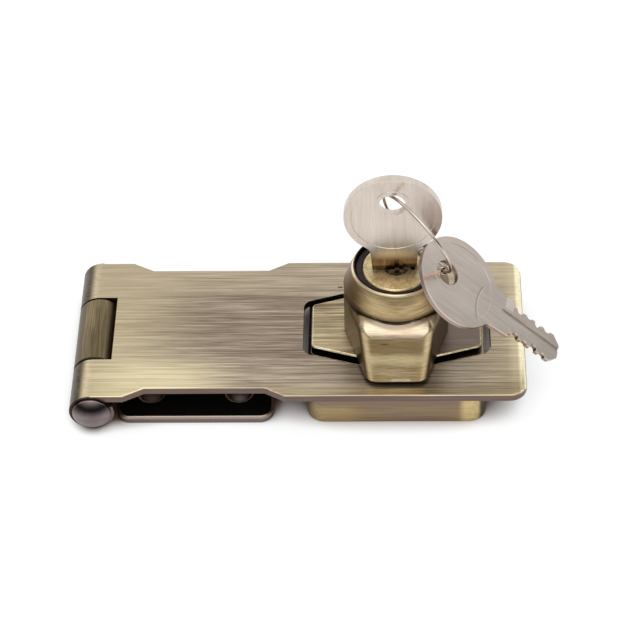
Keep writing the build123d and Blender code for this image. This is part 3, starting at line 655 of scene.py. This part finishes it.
keyTwoZones = [
    # the coppery edges, a painted highlight on the floor of the stop's cut, the line round the bow, and the
    # crease's painted highlight with its painted shadow
    ([("Z", -0.18, 0.66, 0.05)], "#8A7064", 0.8),
    ([("Z", 0.7, 0.74, 0.01), ("X", 12.5, 15.6, 0.1)], "#F2EBE4", 0.9),
    ([("Z", 0.942, 0.986, 0.006), ("radius", 0.0, 10.3, 0.08)], "#8E857E", 0.85),
    ([*creaseBands, ("arc", 9.45, 9.75, 0.1)], "#E6DCD2", 0.7),
    ([*creaseBands, ("arc", 9.8, 10.15, 0.12)], "#948880", 0.6),
]
# Each key's own frame: the middle of its bow, the way from there to its tip, and the way its face looks
keyFrames = {
    "key": ((-0.734, 0.0, 44.385), (0.0244, 0.0, -0.9997), (0.0, -1.0, 0.0)),
    "spare_key": ((13.146, -9.06, 32.515), (0.7444, -0.0859, -0.6622), (0.6352, -0.215, 0.7418)),
}


def keyFrame(middle, way, face):
    along = Vector(way).normalized()
    out = Vector(face)
    out = (out - along * out.dot(along)).normalized()
    turn = Matrix((along, out.cross(along), out)).transposed().to_4x4()
    return Matrix.Translation(Vector(middle) * mm) @ turn


thinSettings = {
    "frontFace": 1.0,               # stays where the solid has it
    "share": 0.62,                  # of the solid's thickness
}


def thinKey(mesh):
    front = Matrix.Translation((0.0, 0.0, thinSettings["frontFace"] * mm))
    place = keyFrame(*keyFrames["spare_key"]) @ front
    bmesh.ops.scale(mesh, vec=(1.0, 1.0, thinSettings["share"]), space=place.inverted(), verts=mesh.verts)


nickelOne = brushedMetal("nickelPlatedKeyOne", dict(keyFinish, zones=keyOneZones))
nickelTwo = brushedMetal("nickelPlatedKeyTwo", dict(keyFinish, zones=keyTwoZones, arcCentre=creaseCentre))
easedCopy("key", "keyInLock", nickelOne, "key", 0.12, frameOf=keyFrame(*keyFrames["key"]))
easedCopy("spare_key", "spareKeyDressed", nickelTwo, "key", 0.1,
          frameOf=keyFrame(*keyFrames["spare_key"]), reshape=thinKey)


# Hinge leaf and pin: the same plating left dark. Only the centre knuckle is brushed, along its length.
# Painted shade darkens its left flank, and its front end is painted black as shade in the gap beside the
# strap's ear
leafFinish = {
    "fineStreak": (0.2, 7.0, 0.2),
    "longStreak": (0.8, 20.0, 0.8),
    "cloud": (6.0, 20.0, 12.0),
    "toneRamp": [(0.34, "#4C4130"), (0.44, "#5F533E"), (0.54, "#74664C"), (0.66, "#9A8B69")],
    "faces": [
        ([("X", -62.6, 0.0, 0.15)], "#4A433C", 1.0),
        ([("X", -62.6, 0.0, 0.15), ("normalZ", 0.5, 0.85, 0.1)], "#D8AC78", 1.0),
        ([("X", -62.6, 0.0, 0.15), ("lengthways", 0.5, 1.2, 0.2), ("absY", 18.5, 21.0, 0.2)], "#9A8F8D",
         1.0),
    ],
    "zones": [
        # painted shade on the knuckle's left flank, a darker stripe along its top, and painted shade at its
        # front end in the gap
        ([("X", -75.0, -71.2, 0.9)], "#4C4032", 0.7),
        ([("X", -65.4, -63.8, 0.5), ("Z", 5.0, 12.0, 0.3)], "#4A3D2E", 0.8),
        ([("X", -80.0, -62.6, 0.2), ("Y", -9.7, -9.0, 0.1)], "#17110C", 1.0),
    ],
    "wearColour": "#C9BEAC",
    "wearAmount": 0.6,
    "roughness": (0.3, 0.46),
    "bump": 0.14,
}
pinFinish = {
    "fineStreak": (2.0, 2.0, 2.0),
    "longStreak": (5.0, 5.0, 5.0),
    "cloud": (8.0, 8.0, 8.0),
    "toneRamp": [(0.3, "#6A5E5F"), (0.5, "#7C7071"), (0.7, "#918584")],
    "faces": [
        # a painted dark reflection on the upper part of the pin heads
        ([("Z", 6.4, 9.0, 1.1), ("absY", 21.4, 25.0, 0.1)], "#2A2322", 0.85),
    ],
    "wearColour": "#A89E96",
    "wearAmount": 0.6,
    "roughness": (0.24, 0.36),
    "bump": 0.1,
}

easedCopy("hinge_leaf", "leafPlate", brushedMetal("darkAntiqueBrassLeaf", leafFinish),
          "leaf", 0.14)
easedCopy("hinge_pin", "pinHeads", brushedMetal("darkSteelPin", pinFinish), "leaf", 0.1)
print("hinge dressed")


# Ring: one thin spring wire through both key holes, bound with a close-wound coil of the same wire
ringSettings = {
    "middle": (4.49, -2.42, 41.155),
    "normal": (-0.7487, -0.5711, -0.3366),
    "start": (-0.0036, 0.5112, -0.8594),
    "radius": 10.8,
    "wire": 0.37,
    "coilAngle": 58.0,
    "coilPitch": 0.76,
    "wireSides": 12,
    "ringSteps": 96,
    "turnSteps": 18,
    "smoothAngle": 60.0,
    "tailStart": (-5.6, -1.0, 0.9),    # in the spare key's frame
    "tailEnd": (-9.03, -5.34, 1.3),
    "tailRadius": 0.26,
}
wireFinish = {
    "fineStreak": (1.0, 1.0, 1.0),
    "longStreak": (3.0, 3.0, 3.0),
    "cloud": (6.0, 6.0, 6.0),
    "toneRamp": [(0.3, "#B3A59B"), (0.5, "#C8BBB1"), (0.7, "#DAD0C8")],
    "tailRamp": [(0.3, "#A8866F"), (0.5, "#C8A48C"), (0.7, "#E2C6B2")],
    "wearColour": "#E9E0D8",
    "roughness": (0.16, 0.26),
    "bump": 0.05,
}


def ringFrame(s):
    out = Vector(s["normal"]).normalized()
    start = Vector(s["start"])
    start = (start - out * start.dot(out)).normalized()
    turn = Matrix((start, out.cross(start), out)).transposed().to_4x4()
    return Matrix.Translation(Vector(s["middle"])) @ turn


def wireProfile(mesh, s, middle):
    upright = Matrix.Rotation(math.radians(90.0), 4, "X")
    bmesh.ops.create_circle(mesh, segments=s["wireSides"], radius=s["wire"],
                            matrix=Matrix.Translation(middle) @ upright)
    return [*mesh.verts, *mesh.edges]


def makeRing(s):
    mesh = bmesh.new()
    profile = wireProfile(mesh, s, (s["radius"], 0.0, 0.0))
    bmesh.ops.spin(mesh, geom=profile, cent=(0.0, 0.0, 0.0), axis=(0.0, 0.0, 1.0), angle=2 * math.pi,
                   steps=s["ringSteps"], use_merge=True, use_duplicate=False)
    bmesh.ops.recalc_face_normals(mesh, faces=mesh.faces)
    bmesh.ops.transform(mesh, matrix=ringFrame(s), verts=mesh.verts)
    return mesh


def makeCoil(s):
    mesh = bmesh.new()
    length = s["radius"] * math.radians(s["coilAngle"])
    turns = int(length / s["coilPitch"])
    steps = s["turnSteps"] * turns
    profile = wireProfile(mesh, s, (s["wire"], 0.0, 2 * s["wire"]))
    bmesh.ops.spin(mesh, geom=profile, cent=(0.0, 0.0, 0.0), axis=(1.0, 0.0, 0.0),
                   angle=2 * math.pi * turns, dvec=((length - 2 * s["wire"]) / steps, 0.0, 0.0),
                   steps=steps, use_merge=False, use_duplicate=False)
    bmesh.ops.holes_fill(mesh, edges=mesh.edges)
    for vert in mesh.verts:                    # bend the straight coil round the ring
        angle = vert.co.x / s["radius"]
        reach = s["radius"] + vert.co.y
        vert.co = Vector((reach * math.cos(angle), reach * math.sin(angle), vert.co.z))
    bmesh.ops.recalc_face_normals(mesh, faces=mesh.faces)
    if mesh.calc_volume(signed=True) < 0.0:    # close turns can leave every face looking inwards
        bmesh.ops.reverse_faces(mesh, faces=mesh.faces)
    bmesh.ops.transform(mesh, matrix=ringFrame(s), verts=mesh.verts)
    return mesh


# The end of the coil's wire, copper-coloured, lying over the spare key's bow
def makeTail(s):
    frameOf = keyFrame(*keyFrames["spare_key"])
    start, end = (frameOf @ (Vector(s[spot]) * mm) / mm for spot in ("tailStart", "tailEnd"))
    turn = (end - start).to_track_quat("Z", "Y").to_matrix().to_4x4()
    mesh = bmesh.new()
    bmesh.ops.create_cone(mesh, cap_ends=True, segments=s["wireSides"], radius1=s["tailRadius"],
                          radius2=s["tailRadius"], depth=(end - start).length,
                          matrix=Matrix.Translation((start + end) / 2) @ turn)
    return mesh


wireMetal = brushedMetal("nickelPlatedWire", wireFinish)
copperMetal = brushedMetal("copperWireEnd", dict(wireFinish, toneRamp=wireFinish["tailRamp"]))
for name, mesh, metal in (("ringWire", makeRing(ringSettings), wireMetal),
                          ("ringCoil", makeCoil(ringSettings), wireMetal),
                          ("wireTail", makeTail(ringSettings), copperMetal)):
    finishPiece(name, mesh, metal, "key", ("key_ring",),
                smoothAngle=ringSettings["smoothAngle"])
print("keys and ring made")


# The shell of the cylinder and what is inside keep their solids and only change their metal
darkHardware = ("cylinder_shell", "spring_washer", "stop_washer", "retaining_clip", "cam_disc", "cam_screw",
                "locking_bolt", "wafer_springs")
wafers = [f"wafer_{place}" for place in range(1, 6)]
for metal, names in ((shellMetal, darkHardware), (plugBrass, wafers)):
    for name in names:
        nodes[name].data.materials.clear()
        nodes[name].data.materials.append(metal)
print("pieces dressed")
